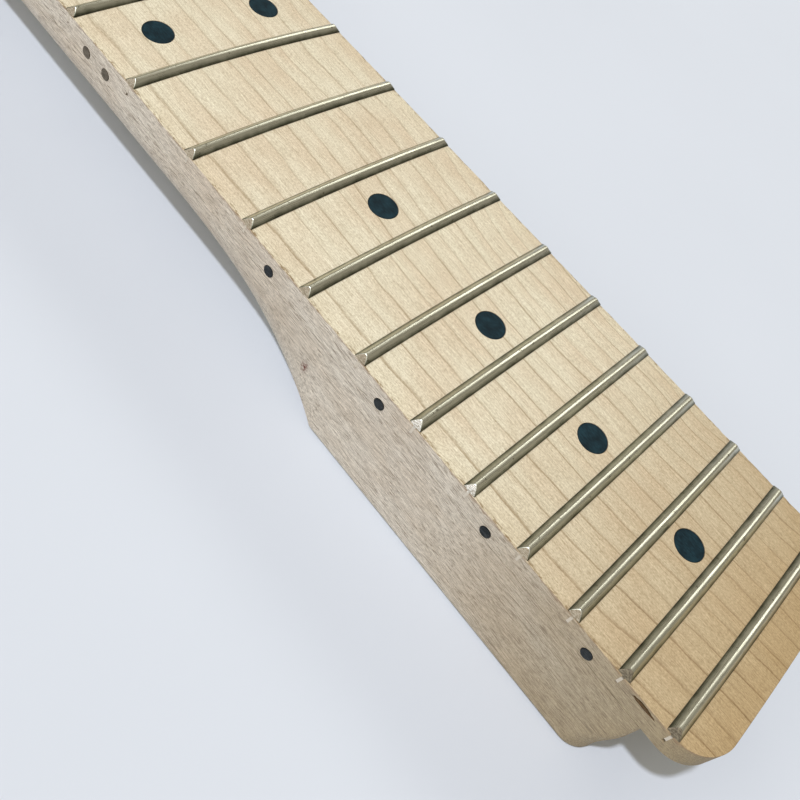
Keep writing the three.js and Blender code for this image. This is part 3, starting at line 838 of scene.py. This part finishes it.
def makeNeck():
    neck = meshObject("neckWood", loft([neckSection(s) for s in neckStations()]), [sideMaple])
    cutters = [roundCutter((along(-u), -out, n["headThickness"] / 2), n["tunerHoleRadius"], beyond)
               for u, out in tuners]
    spanX, spanY = n["pilotSpacing"]
    for place in ((i * spanX / 2, j * spanY / 2, 0) for i in (-1, 1) for j in (-1, 1)):
        cutters.append(roundCutter(place, n["pilotRadius"], 2 * n["pilotDepth"], segments=24))
    start, reach = along(-n["accessStart"]), along(-n["accessLength"])
    floorZ, half = n["accessFloor"], n["accessWidth"] / 2
    cutters.append(boxCutter((reach, -half, floorZ), (start, half, beyond)))
    cutters.append(roundCutter((reach, 0, (floorZ + beyond) / 2), half, beyond - floorZ))
    start, end = along(-n["rodChannelStart"]), along(heelEnd - n["rodChannelToHeelEnd"])
    floorZ, half = n["rodChannelFloor"], n["rodChannelWidth"] / 2
    cutters.append(boxCutter((start, -half, floorZ), (end, half, beyond)))
    cutOut(neck, cutters)
    finishPiece(neck, "neck", "neck_maple", "neck_shaft", sharpAngle=32)


makeNeck()
print("neck made")


# Fretboard: round face, tapered sides, rounded body end, and a torn top edge

boardLook = {
    "cornerRadius": 8.0,
    "endTrim": 0.35,  # the real end is sawn a little short of the drawn one
    "gap": 0.05,  # the glue under the board
    "points": (12, 5, 4),  # of a section: half the face, the rounded edge and the side
    "sections": (10, 482),  # of the ramp and of the straight part
    "endSections": (0.12, 0.05, 0.01, 0.0),
    "edgeRadius": 0.18,
    "edgeBelow": 0.3,
    "lowerEdge": 0.1,
    "thinnest": 0.02,
    # The torn top edge: length of its bites, how the two sides differ, seed and share
    "bites": ((2.6, 9.0, 0.0, 0.8), (0.9, 5.0, 3.1, 0.5)),
    "biteSize": 0.26,
    "biteSeeds": (1.0, 7.0),  # across and down
    "biteFade": 0.6,
    "bitesPastCorner": 4.0,
    "slotWidth": 0.51,
    "slotDepth": 2.15,
    "openSlots": {12: 0.5, 22: 0.6},  # sawn deeper than the tang, so a dark hole shows below it
    "dotRadius": 3.16,
    "dotDepth": 2.0,
    "twelfthSpread": 26.6,
    "splinter": (34.1, 0.98, 2.3, 0.48),  # along, below the face, half length, half width of the torn place
    "splinterRough": (0.45, 2.5),
    "sideDotRadius": 1.2,
    "sideDotDepth": 3.0,
    "sideDotDrop": 4.5,
    "sideTwelfthSpread": 6.1,
    "nutThickness": 3.2,
    "nutFloor": 2.65,
}
b = boardLook
woodEnd = boardEnd - b["endTrim"]
cornerStart = woodEnd - b["cornerRadius"]
singles = [markDistance(m) for m in neckSizes["markedFrets"] if m != 12]
dots = [(u, 0.0) for u in singles] + [(markDistance(12), side * b["twelfthSpread"] / 2) for side in (-1, 1)]
sideDots = singles + [markDistance(12) + side * b["sideTwelfthSpread"] / 2 for side in (-1, 1)]


# How deep the edge is torn here
def bite(x, side, seed):
    torn = sum(share * noise.noise(Vector((x / length, side * apart, seed + more)))
               for length, apart, more, share in b["bites"])
    return max(torn, 0) * b["biteSize"]


def boardSection(fromNut):
    x = along(fromNut)
    half = halfWidth(min(fromNut, cornerStart)) - roundedIn(b["cornerRadius"], woodEnd - fromNut)
    radius, lower = b["edgeRadius"], b["lowerEdge"]
    shrink = roundedIn(radius, woodEnd - fromNut)
    bottom, edgeTop, roof = neckTop + b["gap"] + shrink, faceHeight(half), beyond
    if fromNut < -n["shelfEnd"]:  # here the headstock's ramp runs on through the board
        roof = rampHeight - math.sqrt(max(n["rampRadius"] ** 2 - (rampCentre + fromNut) ** 2, 0))
    torn = fromNut < cornerStart + b["bitesPastCorner"]
    faceCount, edgeCount, sideCount = b["points"]
    sides = []
    for side in (1, -1):
        inward, down = [bite(x, side, seed) if torn else 0 for seed in b["biteSeeds"]]
        run = [(y, faceHeight(y)) for y in steps(0, half - radius, faceCount)]
        for i in range(edgeCount):
            share = i / (edgeCount - 1)
            angle = math.pi / 2 * share
            deepest = 1 - abs(2 * share - 1) * b["biteFade"]  # the bite is deepest halfway round the edge
            run.append((half - radius * (1 - math.sin(angle)) - inward * deepest,
                        edgeTop - radius * (1 - math.cos(angle)) - down * (1 - i / edgeCount)))
        for i in range(1, sideCount + 1):
            run.append((half, blendOf(edgeTop - radius - b["edgeBelow"], bottom + lower, i / sideCount)))
        run = [(y, z - shrink * (z > bottom + 1)) for y, z in run]  # only the upper points sink at the end
        run = [(y, max(min(z, roof), bottom + b["thinnest"])) for y, z in run] + [(half - lower, bottom)]
        sides.append([(x, side * y, z) for y, z in run])
    right, left = sides
    return right + [(x, 0, bottom)] + left[:0:-1]


# A rough lens that tears a long splinter out of the bass edge between the last two frets
def splinterCutter():
    x, below, long, wide = b["splinter"]
    bm = bmesh.new()
    bmesh.ops.create_uvsphere(bm, u_segments=20, v_segments=14, radius=1)
    uneven, often = b["splinterRough"]
    for v in bm.verts:
        v.co *= 1 + uneven * noise.noise(v.co * often)
        v.co = Vector((v.co.x * long, v.co.y * wide, v.co.z * wide))
    half = halfWidth(x + originFromNut)
    bmesh.ops.translate(bm, vec=(x, -half, faceHeight(half) - below), verts=bm.verts)
    return bm


def makeBoard():
    headEnd = -(rampCentre - math.sqrt(n["rampRadius"] ** 2 - (rampHeight - neckTop - b["lowerEdge"]) ** 2))
    rampCount, straightCount = b["sections"]
    stations = steps(headEnd, -n["shelfEnd"], rampCount) + [-n["shelfEnd"]]
    stations += steps(b["gap"] - n["shelfEnd"], cornerStart, straightCount)
    stations += [cornerStart + b["cornerRadius"] * math.sin(math.radians(a)) for a in range(0, 84, 4)]
    stations += [woodEnd - d for d in b["endSections"]]
    bm = loft([boardSection(station) for station in sorted({round(s, 4) for s in stations})])
    for face in bm.faces:
        face.material_index = 1 if face.normal.z > 0.6 else 0
    board = meshObject("boardWood", bm, [sideMaple, faceMaple, splinterShadeMaple])
    floorZ = faceHeight(neckSizes["lastFretWidth"] / 2) - b["slotDepth"]
    cutters = []
    for fret in range(1, neckSizes["frets"] + 1):
        x, bottom = along(fretDistance(fret)), floorZ - b["openSlots"].get(fret, 0)
        half = b["slotWidth"] / 2
        cutters.append(boxCutter((x - half, -beyond, bottom), (x + half, beyond, beyond)))
    nutFloor = faceHeight(neckSizes["nutWidth"] / 2) - b["nutFloor"]
    nutBack = along(-b["nutThickness"] - b["gap"])
    cutters.append(boxCutter((nutBack, -beyond, nutFloor), (along(0), beyond, beyond)))
    drill = 10  # longer than any dot is deep
    for u, y in dots:
        place = (along(u), y, faceHeight(y) - b["dotDepth"] + drill / 2)
        cutters.append(roundCutter(place, b["dotRadius"], drill))
    for u in sideDots:
        place = (along(u), b["sideDotDepth"] - halfWidth(u) - drill / 2, depth - b["sideDotDrop"])
        cutters.append(roundCutter(place, b["sideDotRadius"], drill, axis="Y", segments=24))
    cutters.append(splinterCutter())
    cutOut(board, cutters)
    # The faces that the splinter left, which take the painted shade, lie inside its lens, widened by 0.3, but not
    # on the board's own side
    x, below, long, wide = (size * widen for size, widen in zip(b["splinter"], (1, 1, 1.3, 1.3)))
    for face in board.data.polygons:
        at = face.center * perMetre
        inside = halfWidth(at.x + originFromNut) + at.y
        if abs(at.x - x) < long and 0.02 < inside < wide and abs(faceHeight(at.y) - below - at.z) < wide:
            face.material_index = 2
    finishPiece(board, "neck", "board_maple", "fretboard", sharpAngle=40)


makeBoard()
print("fretboard made")


# Frets: T-section wire, bevelled and filed at both ends, with the tang's ends on the board's edge

fretLook = {
    "crownWidth": 2.6,
    "crownHeight": 1.15,
    "tangWidth": 0.5,
    "tangDepth": 2.0,
    "tangProud": 0.06,
    "bevelAngle": 42,
    "seat": 0.05,
    "crownTop": 0.68,  # radius of the round top between the two straight flanks
    "foot": 0.14,
    "flankPoints": (0, 0.35, 0.7),
    "topPoints": 10,
    "endRound": 0.12,
    "endRimAngle": 38,
    "endLength": 0.25,
    "sections": 48,
    "wobble": 0.02,
    "wobbleSize": (0.7, 3.0, 7.3),  # across, along, and from one fret to the next
    "wobbleFrom": 0.2,
    "dulledEnds": (1, 2, 4, 6, 7, 9, 11, 12, 13, 14, 15, 16, 19, 20),
    # frets whose filed ends carry painted shade
    "shadedEnds": (21, 22),
}


# The crown from one foot over the top to the other: a short upright foot, a straight flank, then a round top
def crownOutline():
    f = fretLook
    half, top = f["crownWidth"] / 2, f["crownTop"]
    centre = f["crownHeight"] - top
    toCentre = math.hypot(half, centre - f["foot"])
    tilt = math.pi - math.atan2(centre - f["foot"], half) - math.asin(top / toCentre)
    flank = math.sqrt(toCentre ** 2 - top ** 2)
    points = [(half, 0.0)]
    for share in f["flankPoints"]:
        points.append((half + math.cos(tilt) * flank * share, f["foot"] + math.sin(tilt) * flank * share))
    start = tilt - math.pi / 2
    mirrored = [(-across, up) for across, up in points[::-1]]
    for angle in steps(start, math.pi - start, f["topPoints"]) + [math.pi - start]:
        points.append((top * math.cos(angle), centre + top * math.sin(angle)))
    return points + mirrored


def fretSection(y, end, edge, seed):
    f = fretLook
    slope = math.tan(math.radians(f["bevelAngle"]))
    tang, low = f["tangWidth"] / 2, -f["tangDepth"]
    wide, long, apart = f["wobbleSize"]
    section = []
    for across, up in crownOutline() + [(-tang, 0), (-tang, low), (tang, low), (tang, 0)]:
        place, wear = y, 0
        if end:
            place = end * (edge - max(up, 0) * slope + (f["tangProud"] if up < 0 else 0))
        if up > f["wobbleFrom"]:
            wear = f["wobble"] * noise.noise(Vector((across * wide, place / long, seed * apart + up)))
        section.append((across, place, faceHeight(place) + f["seat"] + up + wear))
    return section


def makeFret(number):
    f = fretLook
    edge = halfWidth(fretDistance(number))
    inner = edge - f["crownHeight"] * math.tan(math.radians(f["bevelAngle"])) - f["endLength"]
    places = [(-edge, -1)] + [(y, 0) for y in steps(-inner, inner, f["sections"]) + [inner]] + [(edge, 1)]
    bm = loft([fretSection(y, end, edge, number) for y, end in places])
    filedFaces = [face for face in bm.faces if abs(face.normal.y) > 0.5]
    for face in filedFaces:
        face.material_index = 1
    sharp, top = math.radians(f["endRimAngle"]), faceHeight(edge)
    rims = [e for e in bm.edges if len(e.link_faces) == 2 and e.calc_face_angle(0) > sharp
            and any(face in filedFaces for face in e.link_faces) and min(v.co.z for v in e.verts) > top]
    rounded = bmesh.ops.bevel(bm, geom=rims, offset=f["endRound"], segments=3, profile=0.5, affect="EDGES",
                              material=-1, clamp_overlap=True)["faces"]
    # the rims of the shaded ends take the painted shade too
    for face in rounded:
        face.material_index = 1 if number in f["shadedEnds"] else 0
    bmesh.ops.translate(bm, vec=(along(fretDistance(number)), 0, 0), verts=bm.verts)
    ends = dulledMetal if number in f["dulledEnds"] else shadedEndMetal if number in f["shadedEnds"] else filedMetal
    piece = meshObject(f"fretWire{number:02d}", bm, [fretMetal, ends])
    finishPiece(piece, "neck", "fret_wire", f"fret_{number:02d}", sharpAngle=38)


for number in range(1, neckSizes["frets"] + 1):
    makeFret(number)
print("frets made")


# Nut: a slip of bone with a rounded top, softened edges and six string slots

nutLook = {
    "thickness": 3.2,
    "height": 2.1,
    "below": 2.6,
    "gap": 0.05,
    "topPoints": 16,
    "slotDepth": 1.1,
    "slotWidths": (1.35, 1.1, 0.85, 0.65, 0.5, 0.45),
    "edge": 0.3,
}


def makeNut():
    p = nutLook
    half = neckSizes["nutWidth"] / 2 - p["gap"]
    floorZ = faceHeight(neckSizes["nutWidth"] / 2) - p["below"]
    outline = [(-half, floorZ), (half, floorZ)]
    outline += [(y, faceHeight(y) + p["height"]) for y in steps(half, -half, p["topPoints"]) + [-half]]
    bm = bmesh.new()
    corners = [bm.verts.new((along(-p["thickness"]), y, z)) for y, z in outline]
    base = bm.faces.new(corners)
    grown = bmesh.ops.extrude_face_region(bm, geom=[base])["geom"]
    moved = [g for g in grown if isinstance(g, bmesh.types.BMVert)]
    bmesh.ops.translate(bm, vec=(p["thickness"] - p["gap"], 0, 0), verts=moved)
    bmesh.ops.recalc_face_normals(bm, faces=bm.faces)
    rims = [e for e in bm.edges if e.calc_face_angle(0) > 0.8 and min(v.co.z for v in e.verts) > floorZ + 1]
    bmesh.ops.bevel(bm, geom=rims, offset=p["edge"], segments=3, profile=0.5, affect="EDGES", material=-1)
    nut = meshObject("nutBone", bm, [bone])
    cutters = []
    for i, wide in enumerate(p["slotWidths"]):
        y, reach = (i - 2.5) * n["stringSpacing"], 2 * p["thickness"]
        centre = faceHeight(y) + p["height"] - p["slotDepth"] + wide / 2
        cutters.append(roundCutter((along(0), y, centre), wide / 2, 2 * reach, axis="X", segments=24))
        cutters.append(boxCutter((along(-reach), y - wide / 2, centre), (along(reach), y + wide / 2, beyond)))
    cutOut(nut, cutters)
    finishPiece(nut, "neck", "bone", "nut")


makeNut()
print("nut made")


# Finishes of the CAD solids that stay as they are

finishes = {
    "side_dot_12": dustyDot,
    "side_dot": sideDot,
    "face_dot": dotPlastic,
    "truss_block": brass,
    "truss_rod": steel,
}
for name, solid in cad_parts.items():
    finish = next((material for start, material in finishes.items() if name.startswith(start)), None)
    if finish:
        solid.data.materials.clear()
        solid.data.materials.append(finish)


# Floor and light

stageLook = {
    "floor": "#DAE1E9",
    "patterns": {"cloud": ((111.11, 111.11, 111.11), 3.0, 0.5)},
    "cloudShare": (0.3, 0.7, 0.97, 1.0),
    "roughness": 0.7,
    "floorSize": 8.0,
    "floorGap": 0.05,
    "world": "#F3E8D4",
    "worldStrength": 0.35,
    "wall": "#DDE1E7",
}
# Each light has its kind, place, what it points at, power, colour and size: a far lamp high on the bass side for
# the crisp shadow, a wide panel there that lights the neck's side, and a narrow strip beyond the treble side that
# draws the bright line along each fret
lightLook = {
    "highLamp": ("SUN", (-0.39, -0.82, 1.74), (0, 0, 0), 2.05, "#F3F5FF", {"angle": math.radians(2.6)}),
    "panel": ("AREA", (-0.25, -1.1, 1.0), (-0.2, 0, 0), 5.0, "#FFFFFF", {"size": 1.8, "size_y": 0.9}),
    "strip": ("AREA", (-0.35, 1.1, 1.05), (-0.05, 0, 0), 4.4, "#FFFDF5", {"size": 1.3, "size_y": 0.4}),
}


def makeFloor(p):
    bm = bmesh.new()
    bmesh.ops.create_grid(bm, x_segments=2, y_segments=2, size=p["floorSize"] * perMetre / 2)
    bmesh.ops.translate(bm, vec=(0, 0, -p["floorGap"]), verts=bm.verts)
    material, tree = newMaterial("pale_paper")
    cloud = addPatterns(tree, millimetres(tree), p["patterns"])["cloud"]
    share = weigh(tree, (cloud, p["cloudShare"]))
    tone = addNode(tree, "VectorMath", {0: linear(p["floor"])[:3], 1: share}, operation="MULTIPLY").outputs[0]
    closeMaterial(tree, {"Base Color": tone, "Roughness": p["roughness"]})
    meshObject("paleFloor", bm, [material])


def makeLight(name, kind, place, target, power, colour, sizes):
    data = bpy.data.lights.new(name, kind)
    if kind == "AREA":
        data.shape = "RECTANGLE"
    for key, value in sizes.items():
        setattr(data, key, value)
    data.energy = power
    data.color = linear(colour)[:3]
    lamp = bpy.data.objects.new(name, data)
    lamp.location = place
    lamp.rotation_euler = (Vector(target) - Vector(place)).to_track_quat("-Z", "Y").to_euler()
    bpy.context.scene.collection.objects.link(lamp)


def makeRoom(p):
    world = bpy.data.worlds.new("softRoom")
    world.use_nodes = True
    tree = world.node_tree
    tree.nodes.clear()
    glow = addNode(tree, "Background", {"Color": linear(p["world"]), "Strength": p["worldStrength"]})
    wall = addNode(tree, "Background", {"Color": linear(p["wall"]), "Strength": 1.0})
    seen = addNode(tree, "LightPath").outputs["Is Camera Ray"]
    backdrop = addNode(tree, "MixShader", {0: seen, 1: glow.outputs[0], 2: wall.outputs[0]})
    addNode(tree, "OutputWorld", {"Surface": backdrop.outputs[0]})
    bpy.context.scene.world = world


makeFloor(stageLook)
makeRoom(stageLook)
for name, light in lightLook.items():
    makeLight(name, *light)
bpy.context.scene.view_settings.view_transform = "Standard"
print("stage made")
